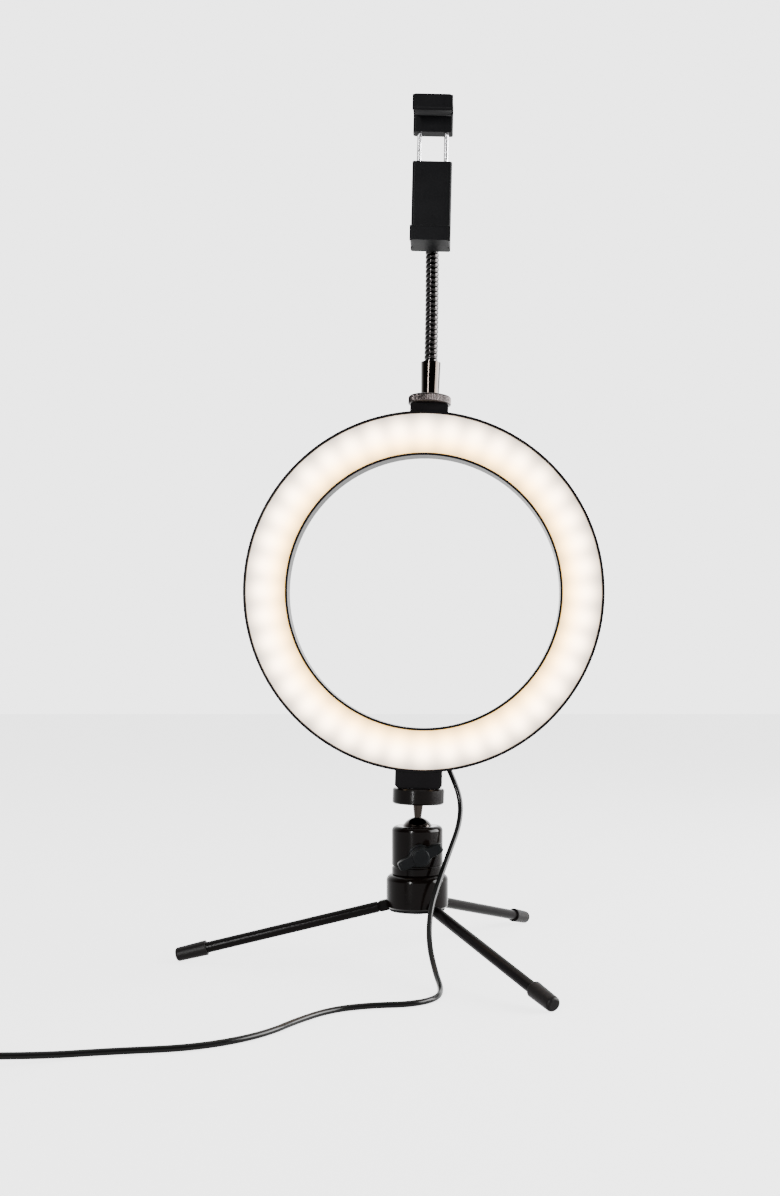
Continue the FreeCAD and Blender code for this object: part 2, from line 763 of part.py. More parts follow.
liner_outer_r = clamp_ball_r + liner_play + liner_wall
body_front_y = clamp_back_y - clamp_body_t
clamp_bottom_z = clamp_ball.z - clamp_below_ball
body_top_z = clamp_ball.z + clamp_above_ball
lower_pad_top_z = clamp_bottom_z + jaw_t + pad_t
upper_pad_low_z = lower_pad_top_z + phone_gap
slider_top_z = upper_pad_low_z + pad_t + jaw_t
rod_y = clamp_back_y - clamp_body_t / 2
rod_low_z = clamp_bottom_z + jaw_t + clamp_close_most + rod_head_t
bore_top_z = body_top_z - rod_cover


def make_liner():
    outer = Part.makeSphere(liner_outer_r, clamp_ball)
    inner = Part.makeSphere(clamp_ball_r + liner_play, clamp_ball)
    rim_y = clamp_ball.y - liner_outer_r * math.cos(math.radians(liner_cap_deg))
    front = rod(20, 20, V(clamp_ball.x, rim_y - 20, clamp_ball.z), Y_AXIS)
    return outer.common(front).cut(inner)


def make_ball_nut():
    front = V(clamp_ball.x, clamp_ball.y - collar_nut_front, clamp_ball.z)
    nut = rod(collar_nut_r, collar_nut_front + collar_nut_back, front, Y_AXIS)
    nut = nut.makeFillet(0.8, flat_edges(nut, clamp_ball.y + collar_nut_back, Y_AXIS))
    nut = nut.cut(rod(boss_r + free_gap, collar_nut_front + 0.8, front, Y_AXIS))
    lip = Part.makeSphere(clamp_ball_r + ball_socket_gap, clamp_ball)
    way_out = rod(clamp_ball_r - 0.8, 10, clamp_ball, Y_AXIS)
    return nut.cut(lip).cut(way_out)


def make_jaw(arm_z, outer_z, lip_z):
    """A jaw and its lip: outer_z is the height of the jaw's rounded edges."""
    x = clamp_ball.x
    root = jaw_reach / 4
    arm = block(clamp_width, jaw_reach + root, jaw_t, V(x, body_front_y - (jaw_reach - root) / 2, 0), arm_z)
    sides = [e for e in flat_edges(arm, outer_z) if abs(e.CenterOfMass.x - x) > 1]
    arm = arm.makeFillet(jaw_edge, sides)
    lip_y = body_front_y - jaw_reach + jaw_lip_t / 2
    lip = block(clamp_width, jaw_lip_t, jaw_t + pad_t + jaw_lip, V(x, lip_y, 0), lip_z)
    return arm.fuse(lip.makeFillet(lip_edge, edges_along(lip, X_AXIS)))


def make_clamp_base():
    x = clamp_ball.x
    body = block(clamp_width, clamp_body_t, body_top_z - clamp_bottom_z, V(x, rod_y, 0), clamp_bottom_z)
    body = body.makeFillet(clamp_side_r, edges_along(body, Z_AXIS))
    boss = rod(boss_r, boss_depth, V(x, clamp_back_y - boss_depth / 2, clamp_ball.z), Y_AXIS)
    base = body.fuse(make_jaw(clamp_bottom_z, clamp_bottom_z, clamp_bottom_z)).fuse(boss)
    base = base.cut(Part.makeSphere(liner_outer_r + ball_socket_gap, clamp_ball))
    base = base.cut(rod(boss_r + 1, 20, V(x, clamp_ball.y - boss_back_off, clamp_ball.z), Y_AXIS))
    for side in (-1, 1):
        spot = V(x + side * rod_spacing / 2, rod_y, clamp_bottom_z + jaw_t)
        base = base.cut(rod(rod_bore_r, bore_top_z - spot.z, spot))
        base = base.cut(rod(rod_r + running, 10, V(spot.x, spot.y, bore_top_z - 1)))
    return clamp_leaned(base)


def make_clamp_slider():
    x = clamp_ball.x
    body_low = slider_top_z - slider_height - jaw_t
    body = block(clamp_width, clamp_body_t, slider_top_z - body_low, V(x, rod_y, 0), body_low)
    body = body.makeFillet(clamp_side_r, edges_along(body, Z_AXIS))
    arm_z = slider_top_z - jaw_t
    slider = body.fuse(make_jaw(arm_z, slider_top_z, arm_z - pad_t - jaw_lip))
    for side in (-1, 1):
        slider = slider.cut(rod(rod_r, slider_height, V(x + side * rod_spacing / 2, rod_y, body_low)))
    return clamp_leaned(slider)


def make_pad(low_z):
    reach = jaw_reach - jaw_lip_t
    centre = V(clamp_ball.x, body_front_y - reach / 2, 0)
    return clamp_leaned(block(clamp_width - 2 * pad_inset, reach - screw_clear, pad_t, centre, low_z))


def make_rods():
    top = slider_top_z - jaw_t
    rods = []
    for side in (-1, 1):
        spot = V(clamp_ball.x + side * rod_spacing / 2, rod_y, rod_low_z)
        shaft = rod(rod_r, top - rod_low_z, spot).fuse(rod(rod_head_r, rod_head_t, spot))
        rods.append(clamp_leaned(shaft))
    return Part.makeCompound(rods)


def make_springs():
    springs = []
    low = rod_low_z + rod_head_t + spring_end_gap
    bore = rod_r + spring_clear
    for side in (-1, 1):
        spot = V(clamp_ball.x + side * rod_spacing / 2, rod_y, low)
        coil = ring(bore + spring_wall, bore, bore_top_z - spring_end_gap - low, spot)
        springs.append(clamp_leaned(coil))
    return Part.makeCompound(springs)


# ---- cord -----------------------------------------------------------------------
def corner_arc(before, corner, after, reach):
    """The arc that rounds a corner of the route, and its radius; it starts and ends reach away."""
    back = before.sub(corner).normalize()
    on = after.sub(corner).normalize()
    start = corner.add(V(back).multiply(reach))
    end = corner.add(V(on).multiply(reach))
    half_turn = (math.pi - back.getAngle(on)) / 2
    radius = reach / math.tan(half_turn)
    to_middle = back.add(on).normalize()
    middle = corner.add(to_middle.multiply(radius / math.cos(half_turn) - radius))
    return Part.Arc(start, middle, end).toShape(), start, end, radius


def cord_lengths(points, joins=()):
    """The route's straight runs and arcs, as one list of edges for each length between joins."""
    lengths = [[]]
    radii = []
    here = points[0]
    for n in range(len(points) - 1):
        corner = points[n + 1]
        arc = None
        end = corner
        if n + 2 < len(points):
            shorter = min(corner.sub(points[n]).Length, points[n + 2].sub(corner).Length)
            arc, end, leave, radius = corner_arc(points[n], corner, points[n + 2], 0.45 * shorter)
            radii.append(radius)
        if n in joins:
            middle = points[n].add(corner).multiply(0.5)
            lengths[-1].append(Part.LineSegment(here, middle).toShape())
            lengths.append([])
            here = middle
        lengths[-1].append(Part.LineSegment(here, end).toShape())
        if arc:
            lengths[-1].append(arc)
            here = leave
    return lengths, radii


def cord_tubes(name, points, joins=()):
    """The cord's round section carried along each length of its route."""
    lengths, radii = cord_lengths(points, joins)
    print(name, "radii", [round(r, 1) for r in radii])
    tubes = []
    for edges in lengths:
        path = Part.Wire(edges)
        first = edges[0]
        heading = first.tangentAt(first.FirstParameter)
        section = Part.Wire(Part.makeCircle(cord_r, first.valueAt(first.FirstParameter), heading))
        tube = path.makePipeShell([section], True, False)
        should = math.pi * cord_r ** 2 * path.Length
        print(name, "length", round(path.Length, 1), "volume over expected", round(tube.Volume / should, 4))
        tubes.append(tube)
    return tubes


def make_coil():
    width = coil_turns_across * 2 * cord_r
    height = coil_turns_high * 2 * cord_r
    coil = ring(coil_inner_r + width, coil_inner_r, height, coil_centre)
    rims = flat_edges(coil, coil_centre.z) + flat_edges(coil, coil_centre.z + height)
    return coil.makeFillet(coil_edge_r, rims)


def make_tie():
    width = coil_turns_across * 2 * cord_r
    height = coil_turns_high * 2 * cord_r
    middle_r = coil_inner_r + width / 2
    inner = block(width, tie_width, height, V(middle_r, 0, 0), tie_t)
    inner = inner.makeFillet(coil_edge_r * 0.9, edges_along(inner, Y_AXIS))
    outer = block(width + 2 * tie_t, tie_width, height + 2 * tie_t, V(middle_r, 0, 0), 0)
    outer = outer.makeFillet(coil_edge_r + tie_t, edges_along(outer, Y_AXIS))
    tie = outer.cut(inner)
    tie = turned(tie, V(0, 0, 0), Z_AXIS, tie_azimuth)
    tie.translate(V(coil_centre.x, coil_centre.y, 0))
    return tie.cut(make_coil())


def place_controller(shape):
    """From drawn along +X from the origin to where the controller lies."""
    laid = turned(shape, V(0, 0, 0), Z_AXIS, controller_turn)
    laid.translate(controller_start)
    return laid


def controller_block():
    centre = V(controller_length / 2, 0, 0)
    shell = block(controller_length, controller_width, controller_height, centre, 0)
    shell = shell.makeFillet(controller_edge_r * 2, edges_along(shell, Z_AXIS))
    rims = flat_edges(shell, controller_height) + flat_edges(shell, 0)
    return shell.makeFillet(controller_edge_r * 0.6, rims)


def controller_room():
    centre = V(controller_length / 2, 0, 0)
    length = controller_length - 2 * (controller_wall + board_end_gap)
    width = controller_width - 2 * controller_wall
    return block(length, width, controller_height - 2 * controller_wall, centre, controller_wall)


def button_places():
    first = controller_length / 2 - button_spacing * (len(button_names) - 1) / 2
    return [first + n * button_spacing for n in range(len(button_names))]


button_cap_z = controller_height - controller_wall
stem_low_z = button_cap_z - button_under + button_travel


def make_controller_bottom():
    middle = V(controller_length / 2, 0, 0)
    below = block(2 * controller_length, 2 * controller_width, controller_split, middle, 0)
    half = controller_block().common(below)
    return place_controller(half.cut(controller_room()))


def make_controller_top():
    middle = V(controller_length / 2, 0, 0)
    above = block(2 * controller_length, 2 * controller_width, controller_height, middle, controller_split)
    half = controller_block().common(above).cut(controller_room())
    for place in button_places():
        half = half.cut(rod(button_r + button_clear, controller_height, V(place, 0, controller_split)))
    return place_controller(half)


def make_controller_board():
    length = controller_length - 2 * (controller_wall + board_end_gap + board_side_gap)
    width = controller_width - 2 * (controller_wall + board_side_gap)
    top_z = stem_low_z - button_travel - screw_clear
    middle = V(controller_length / 2, 0, 0)
    board = block(length, width, controller_board_t, middle, top_z - controller_board_t)
    return place_controller(board)


def make_button(place):
    top = controller_height + button_proud
    cap = rod(button_r, top - button_cap_z, V(place, 0, button_cap_z))
    cap = cap.makeFillet(button_edge, flat_edges(cap, top))
    skirt = rod(button_r + button_skirt, button_skirt_t, V(place, 0, button_cap_z - button_skirt_t - running))
    stem = rod(button_stem_r, button_cap_z - stem_low_z, V(place, 0, stem_low_z))
    return place_controller(cap.fuse(skirt).fuse(stem))


def place_plug(shape):
    """From drawn along +X from the cord's end to where the plug lies."""
    laid = turned(shape, V(0, 0, 0), Z_AXIS, plug_turn)
    end = lead_points[-1]
    laid.translate(V(end.x, end.y, 0))
    return laid


def make_plug_body():
    body = block(plug_length, plug_width, plug_height, V(plug_sleeve_length + plug_length / 2, 0, 0), 0)
    body = body.makeFillet(plug_edge_r, edges_along(body, X_AXIS))
    body = body.makeFillet(plug_end_edge, flat_edges(body, plug_sleeve_length, X_AXIS))
    into_body = plug_sleeve_length + 0.5
    sleeve = Part.makeCone(cord_r + relief_wall, plug_sleeve_r, into_body, V(0, 0, lead_points[-1].z), X_AXIS)
    return place_plug(body.fuse(sleeve))


def make_plug_shell():
    start = plug_sleeve_length + plug_length
    low = (plug_height - plug_shell_height) / 2
    centre = V(start + plug_shell_length / 2, 0, 0)
    wall = plug_shell_wall
    shell = block(plug_shell_length, plug_shell_width, plug_shell_height, centre, low)
    shell = shell.makeFillet(0.6, edges_along(shell, X_AXIS))
    width, height = plug_shell_width - 2 * wall, plug_shell_height - 2 * wall
    room = block(plug_shell_length, width, height, V(centre.x + 1, 0, 0), low + wall)
    return place_plug(shell.cut(room))


# ---- the whole model --------------------------------------------------------------
def build():
    parts = {}
    parts["hub_body"] = make_hub()
    parts["hub_plate"] = make_hub_plate()
    parts["hub_screw"] = make_hub_screw()
    parts["leg_pins"] = make_leg_pins()
    for name, angle in leg_angles.items():
        parts["leg_" + name] = make_leg(angle)
        parts["foot_" + name] = make_foot(angle)
    parts["head_base"] = make_head_base()
    parts["head_housing"] = make_housing()
    parts["head_collar"] = make_collar()
    parts["ball_seat"] = make_seat()
    parts["head_ball"] = make_ball()
    parts["head_stem"] = make_stem()
    parts["lock_disc"] = make_lock_disc()
    parts["brake_shoe"] = make_shoe()
    parts["lock_screw"] = make_lock_screw()
    parts["lock_knob"] = make_knob()
    parts["back_shell"] = make_back_shell()
    parts["shell_screws"] = make_shell_screws()
    parts["reflector"] = make_reflector()
    parts["led_board"] = make_board()
    parts["leds"] = make_leds()
    parts["diffuser"] = make_diffuser()
    parts["lower_block"] = make_lower_block()
    parts["upper_block"] = make_upper_block()
    parts["threaded_inserts"] = make_inserts()
    parts["cord_gland"] = make_gland()
    parts["top_nut"] = make_top_nut()
    parts["neck_ferrule"] = make_ferrule()
    for n in range(neck_links):
        parts["neck_link_" + str(n + 1)] = make_link(n)
    parts["neck_knuckle"] = make_knuckle()
    parts["ball_liner"] = make_liner()
    parts["ball_nut"] = make_ball_nut()
    parts["clamp_base"] = make_clamp_base()
    parts["lower_pad"] = make_pad(clamp_bottom_z + jaw_t)
    parts["clamp_slider"] = make_clamp_slider()
    parts["upper_pad"] = make_pad(upper_pad_low_z)
    parts["guide_rods"] = make_rods()
    parts["clamp_springs"] = make_springs()
    top, middle, low = cord_tubes("cord", cord_points, cord_joins)
    parts["cord_top"] = top
    parts["cord_middle"] = middle
    parts["cord_low"] = low
    parts["cord_tail"] = cord_tubes("cord tail", tail_points)[0]
    parts["cord_coil"] = make_coil()
    parts["coil_tie"] = make_tie()
    parts["plug_lead"] = cord_tubes("plug lead", lead_points)[0]
    parts["controller_bottom"] = make_controller_bottom()
    parts["controller_top"] = make_controller_top()
    parts["controller_board"] = make_controller_board()
    for name, place in zip(button_names, button_places()):
        parts["button_" + name] = make_button(place)
    parts["plug_body"] = make_plug_body()
    parts["plug_shell"] = make_plug_shell()
    return parts


def main():
    os.makedirs("parts", exist_ok=True)
    parts = build()
    for name, shape in parts.items():
        if not shape.isValid() or not shape.Solids:
            raise ValueError("the piece " + name + " isn't a sound solid")
        shape.exportStep("parts/" + name + ".step")
    print(len(parts), "pieces")
    print("the clamp takes", phone_gap - clamp_close_most, "to", phone_gap + clamp_open_most, "mm")


main()
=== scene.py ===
# %% [markdown]
# # A ring light on a folding tripod
# A white ring lamp stands on a ball head and three folding legs, and a gooseneck
# above it holds a spring clamp for a phone. The exact shapes come from the CAD
# model as a fixed frame. Here each piece gets its finish, and the pieces whose
# surface is worked in detail, such as the gooseneck, are made again in numpy.

# %% Load the frame
import json
import math

import bmesh
import bpy
import numpy as np
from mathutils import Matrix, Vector


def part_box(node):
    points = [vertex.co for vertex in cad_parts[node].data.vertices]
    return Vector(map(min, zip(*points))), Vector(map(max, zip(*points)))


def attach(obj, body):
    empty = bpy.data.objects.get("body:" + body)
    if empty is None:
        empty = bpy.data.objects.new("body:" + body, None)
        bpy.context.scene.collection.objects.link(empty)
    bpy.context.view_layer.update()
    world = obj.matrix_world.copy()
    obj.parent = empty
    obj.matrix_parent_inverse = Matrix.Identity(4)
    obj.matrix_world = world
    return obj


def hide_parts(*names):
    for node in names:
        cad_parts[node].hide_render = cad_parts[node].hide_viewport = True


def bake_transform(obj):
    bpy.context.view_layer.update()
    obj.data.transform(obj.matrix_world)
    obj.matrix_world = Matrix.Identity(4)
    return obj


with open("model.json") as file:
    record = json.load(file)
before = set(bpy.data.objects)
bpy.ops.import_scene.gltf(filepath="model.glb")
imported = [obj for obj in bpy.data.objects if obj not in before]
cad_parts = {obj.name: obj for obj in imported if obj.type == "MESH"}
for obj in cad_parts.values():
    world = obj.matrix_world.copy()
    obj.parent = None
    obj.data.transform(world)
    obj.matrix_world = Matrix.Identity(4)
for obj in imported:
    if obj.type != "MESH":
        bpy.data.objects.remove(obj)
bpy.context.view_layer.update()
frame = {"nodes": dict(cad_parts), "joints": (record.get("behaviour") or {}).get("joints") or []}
nodes = frame["nodes"]
joint_at = {j["name"]: np.array(j.get("pos_m", (0, 0, 0)), float) for j in frame["joints"]}
mm = 0.001

# %% [markdown]
# ## The camera
# It stands level, 0.7 m in front of the tripod and a little above half height, so
# the ring is a true circle and the feet are seen slightly from above. The lens is
# shifted, as on a view camera, so that uprights stay upright.

# %% The camera
camera_data = bpy.data.cameras.new("camera")
camera_data.sensor_width = 36.0
camera_data.lens = 37.762
camera_data.shift_x, camera_data.shift_y = -0.06447, 0.08094
camera = bpy.data.objects.new("camera", camera_data)
camera.location = (0.0278, -0.700, 0.1481)
camera.rotation_euler = (math.pi / 2, 0, 0)
bpy.context.scene.collection.objects.link(camera)
bpy.context.scene.camera = camera
print("camera: lens %.2f mm" % camera_data.lens)

# %% [markdown]
# ## Surfaces from grids
# Every new piece is a grid of points worked out as whole arrays. The grid may close
# on itself round the section, along the path, or both, and an end that is still
# open gets a flat face. Normals are made to point outwards once, at the end.

# %% From a grid to a mesh
def grid_faces(rows, columns, loop_rows=False):
    """Quads between neighbouring points of a grid whose columns go round and close."""
    r = np.arange(rows if loop_rows else rows - 1)[:, None]
    c = np.arange(columns)[None, :]
    ahead, beside = (r + 1) % rows, (c + 1) % columns
    corners = (r * columns + c, r * columns + beside, ahead * columns + beside, ahead * columns + c)
    return np.stack([np.broadcast_to(x, (len(r), columns)) for x in corners], -1).reshape(-1, 4)


def piece(name, grid, loop_rows=False, sharp=40.0):
    """A closed mesh from a grid of rows x columns x 3 points; open ends get one flat face each."""
    rows, columns = grid.shape[:2]
    faces = grid_faces(rows, columns, loop_rows).tolist()
    if not loop_rows:
        faces += [list(range(columns)), list(range((rows - 1) * columns, rows * columns))]
    return finished(name, grid.reshape(-1, 3), faces, sharp)


def finished(name, points, faces, sharp=40.0):
    """The mesh with its doubles merged, its normals outwards and its edges past an angle kept sharp."""
    mesh = bpy.data.meshes.new(name)
    mesh.from_pydata(np.asarray(points).tolist(), [], faces)
    work = bmesh.new()
    work.from_mesh(mesh)
    bmesh.ops.remove_doubles(work, verts=work.verts, dist=2e-6)
    bmesh.ops.dissolve_degenerate(work, edges=work.edges, dist=1e-6)
    bmesh.ops.recalc_face_normals(work, faces=work.faces)
    work.to_mesh(mesh)
    work.free()
    mesh.shade_smooth()
    mesh.set_sharp_from_angle(angle=math.radians(sharp))
    made = bpy.data.objects.new(name, mesh)
    bpy.context.scene.collection.objects.link(made)
    print(name, len(mesh.polygons), "faces")
    return made


def unit(v):
    """Each vector divided by its length."""
    return v / np.linalg.norm(v, axis=-1, keepdims=True)


def about(axis):
    """Two unit vectors square to an axis and to each other."""
    axis = unit(np.asarray(axis, float))
    side = unit(np.cross(axis, (0, 1, 0) if abs(axis[1]) < 0.9 else (1, 0, 0)))
    return side, np.cross(axis, side)


def turn_profile(profile, centre, axis, columns=64, ripple=None):
    """A profile of (radius, height) turned about an axis: each point is the centre, plus its
    height along the axis, plus its radius round it. A ripple multiplies the radius at each angle."""
    profile = np.asarray(profile, float)
    angle = np.arange(columns) * 2 * np.pi / columns
    side, up = about(axis)
    round_it = np.cos(angle)[:, None] * side + np.sin(angle)[:, None] * up
    radius = profile[:, 0][:, None] * (1 if ripple is None else ripple(profile, angle))
    return (np.asarray(centre, float) + profile[:, 1][:, None, None] * unit(np.asarray(axis, float))
            + radius[..., None] * round_it[None])


def along(line, radius, columns=16, up=(0.577, -0.577, 0.577)):
    """A round section carried along a line: at each point the section lies square to the
    line's direction, and its first point is turned away from the given way up."""
    line = np.asarray(line, float)
    heading = unit(np.gradient(line, axis=0))
    side = unit(np.cross(np.asarray(up, float), heading))
    top = np.cross(heading, side)
    angle = np.arange(columns) * 2 * np.pi / columns
    radius = np.broadcast_to(radius, (len(line), columns))[..., None]
    ring = np.cos(angle)[:, None] * side[:, None] + np.sin(angle)[:, None] * top[:, None]
    return line[:, None] + radius * ring


# %% [markdown]
# ## The cord
# A 3 mm round cable leaves a gland behind the foot of the ring, hangs beside the
# ball head, comes down in front of the tripod and runs away over the table to a
# small controller, a neat coil and a USB plug. One smooth spline gives its line.
# Its upper part crosses the ball head's three joints, so the tube is cut in three,
# high up near the ball's centre where tilting moves it least.

# %% The cord's route
cord_d = 3.0 * mm
cord_points = np.array([
    (15.2, 10.1, 110.8), (20.3, 10.4, 100.2), (24.4, 8.8, 87.5), (23.4, 1.5, 75.0),
    (17.8, -9.0, 61.0), (12.4, -19.0, 46.5), (8.0, -29.0, 33.0), (7.6, -43.5, 18.5),
    (11.6, -60.0, 6.3), (15.2, -77.0, 1.65), (13.2, -95.0, 1.52), (1.5, -106.0, 1.55),
    (-17.0, -107.6, 1.5), (-34.5, -115.5, 1.55), (-47.5, -133.0, 1.5), (-60.5, -160.0, 1.5),
    (-85.0, -179.0, 1.55), (-118.0, -184.0, 1.5), (-146.0, -193.0, 2.1), (-166.0, -203.0, 5.0)]) * mm
tail_points = np.array([
    (-221.4, -223.3, 5.0), (-232.5, -228.6, 2.5), (-239.2, -239.0, 2.0), (-238.6, -252.0, 2.1)]) * mm
lead_points = np.array([
    (-216.0, -274.6, 2.1), (-205.0, -274.0, 2.0), (-196.0, -269.5, 3.0), (-189.0, -263.0, 3.9)]) * mm
coil_centre = np.array((-222.0, -258.0, 0.6)) * mm


def spline_line(points, fineness=10):
    """The points that a smooth spline of order 3 passes through, read from Blender's own curve."""
    data = bpy.data.curves.new("route", "CURVE")
    data.dimensions = "3D"
    spline = data.splines.new("NURBS")
    spline.points.add(len(points) - 1)
    spline.points.foreach_set("co", np.column_stack([points, np.ones(len(points))]).ravel())
    spline.order_u = 3
    spline.use_endpoint_u = True
    spline.resolution_u = fineness
    holder = bpy.data.objects.new("route", data)
    mesh = bpy.data.meshes.new_from_object(holder)
    line = np.zeros(len(mesh.vertices) * 3)
    mesh.vertices.foreach_get("co", line)
    bpy.data.objects.remove(holder)
    return line.reshape(-1, 3)


def line_length(line):
    """The sum of the steps from each point to the next."""
    return float(np.linalg.norm(np.diff(line, axis=0), axis=1).sum())


cord_line = spline_line(cord_points)
print("cord: %.0f mm from the ring to the controller" % (line_length(cord_line) / mm))

# %% Three lengths of tube, from the ring to the table
def nearest(line, point):
    """The index of the line's point that is nearest to a given point."""
    return int(np.argmin(np.linalg.norm(line - point, axis=1)))


joins = [nearest(cord_line, cord_points[n:n + 2].mean(axis=0)) for n in (2, 4)]
cuts = [0, *joins, len(cord_line) - 1]
lengths = [cord_line[a:b + 1] for a, b in zip(cuts, cuts[1:])]
cord_pieces = []
for name, line, bodies in zip(("cord_upper", "cord_waist", "cord_run"), lengths,
                              (("head", "ball"), ("ball", "seat"), ("seat", "stand"))):
    tube = piece(name, along(line, cord_d / 2))
    settled = line[len(line) // 4] if name == "cord_run" else line[-1]
    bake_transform(tube)
    cord_pieces.append((tube, line))
(cord_upper, upper_line), (cord_waist, waist_line), (cord_run, run_line) = cord_pieces
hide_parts("cord_top")
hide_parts("cord_middle")
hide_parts("cord_low")

# %% [markdown]
# The rest of the cord is wound up for storage: eight turns and a third, beside and over
# each other, between the tail that leaves the controller and the lead to the plug.
# The turns are more points of the same spline, sixteen to a turn, and each turn
# steps to its place in the bundle as it closes.

# %% The coil, from the controller to the plug
def coil_points(per_turn=16):
    """Points round the coil: the angle goes on evenly, and the radius and height step from one
    place in the bundle to the next over the last part of each turn."""
    order = [(2, 0), (1, 0), (0, 0), (0, 1), (1, 1), (0, 2), (1, 2), (2, 2), (2, 1)]
    spot = np.array(order, float)
    radius = (12.0 + 1.5 + 3.0 * spot[:, 0]) * mm
    height = (1.5 + 3.0 * spot[:, 1]) * mm
    whole = len(order) - 0.66
    t = np.linspace(0, whole, int(per_turn * whole) + 1)
    turn = np.minimum(t.astype(int), len(order) - 1)
    after = np.minimum(turn + 1, len(order) - 1)
    share = np.clip((t - turn - 0.6) / 0.4, 0, 1)
    share = share ** 2 * (3 - 2 * share)
    r = radius[turn] * (1 - share) + radius[after] * share
    z = height[turn] * (1 - share) + height[after] * share
    first = math.atan2(*(tail_points[-1] - coil_centre)[1::-1])
    angle = first + 2 * np.pi * t
    return coil_centre + np.stack([r * np.cos(angle), r * np.sin(angle), z], -1)


turns = coil_points()
print("coil", turns[0] / mm, turns[-1] / mm)
leaving = np.array([(-211.6, -277.0, 4.6)]) * mm
stored_points = np.vstack([tail_points[:-1], turns, leaving, lead_points[1:]])
stored_line = spline_line(stored_points, 5)
cord_stored = piece("cord_stored", along(stored_line, cord_d / 2))
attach(cord_stored, "stand")
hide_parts("cord_tail", "cord_coil", "plug_lead")

# %% [markdown]
# ## Floor and light
# The lamp stands on a light table: a pale sheet lit from below, as is used for
# product work, so it stays white under the piece and takes hardly any shadow. The
# world is bright behind the lamp and dim behind the camera, so black stays dark in
# the middle. Glossy black shows its shape only by what it mirrors: a narrow soft box
# at the front left gives a thin line, a broad one at the right side a wide sheen,
# and a third hangs overhead.

# %% Floor, world and soft boxes
floor_mesh = bpy.data.meshes.new("floor")
floor_z = -0.4 * mm
floor_corners = [(-6, -6, floor_z), (6, -6, floor_z), (6, 9, floor_z), (-6, 9, floor_z)]
floor_mesh.from_pydata(floor_corners, [], [(0, 1, 2, 3)])
floor = bpy.data.objects.new("floor", floor_mesh)
bpy.context.scene.collection.objects.link(floor)

world = bpy.data.worlds.new("studio")
bpy.context.scene.world = world
world.use_nodes = True
sky = world.node_tree
toward = sky.nodes.new("ShaderNodeTexCoord")
parts_of = sky.nodes.new("ShaderNodeSeparateXYZ")
backdrop = sky.nodes.new("ShaderNodeMapRange")
backdrop.interpolation_type = "SMOOTHSTEP"
for socket, value in (("From Min", -0.3), ("From Max", 0.7), ("To Min", 0.2), ("To Max", 3.6)):
    backdrop.inputs[socket].default_value = value
sky.nodes["Background"].inputs["Color"].default_value = (1.0, 1.0, 1.0, 1.0)
sky.links.new(toward.outputs["Generated"], parts_of.inputs[0])
sky.links.new(parts_of.outputs["Y"], backdrop.inputs["Value"])
sky.links.new(backdrop.outputs[0], sky.nodes["Background"].inputs["Strength"])


def soft_box(name, place, aim, width, height, power):
    """An oblong area light that faces a point."""
    data = bpy.data.lights.new(name, "AREA")
    data.shape, data.size, data.size_y, data.energy = "RECTANGLE", width, height, power
    lamp = bpy.data.objects.new(name, data)
    lamp.location = place
    lamp.rotation_euler = (Vector(aim) - Vector(place)).to_track_quat("-Z", "Y").to_euler()
    bpy.context.scene.collection.objects.link(lamp)
    return lamp


soft_box("box_right", (1.10, -0.02, 0.42), (0, 0, 0.15), 1.0, 0.8, 190)
soft_box("box_left", (-0.62, -1.45, 0.45), (0, 0, 0.15), 0.09, 0.9, 110)
soft_box("box_top", (0.0, 0.2, 2.0), (0, 0, 0), 2.6, 2.6, 70)

# %% [markdown]
# ## Shader maths in Python
# A field is a number that changes over a surface. The small class below wraps one
# socket and turns + - * / into Math nodes, so a finish reads like a formula. Any
# other node comes from one method that takes its type, settings and inputs.

# %% Fields and finishes
class Field:
    """A socket whose arithmetic adds Math nodes to the same tree."""

    def __init__(self, finish, socket):
        self.finish, self.socket = finish, socket

    def math(self, operation, *others, swap=False):
        values = [*others, self] if swap else [self, *others]
        return self.finish.node("ShaderNodeMath", {"operation": operation}, dict(enumerate(values)))

    def __add__(self, other): return self.math("ADD", other)
    def __radd__(self, other): return self.math("ADD", other)
    def __sub__(self, other): return self.math("SUBTRACT", other)
    def __rsub__(self, other): return self.math("SUBTRACT", other, swap=True)
    def __mul__(self, other): return self.math("MULTIPLY", other)
    def __rmul__(self, other): return self.math("MULTIPLY", other)
    def __truediv__(self, other): return self.math("DIVIDE", other)
    def __pow__(self, other): return self.math("POWER", other)

    def between(self, low, high):
        """0 below low, 1 above high, smooth between."""
        return self.finish.node("ShaderNodeMapRange", {"interpolation_type": "SMOOTHSTEP"},
                                {"Value": self, "From Min": low, "From Max": high})


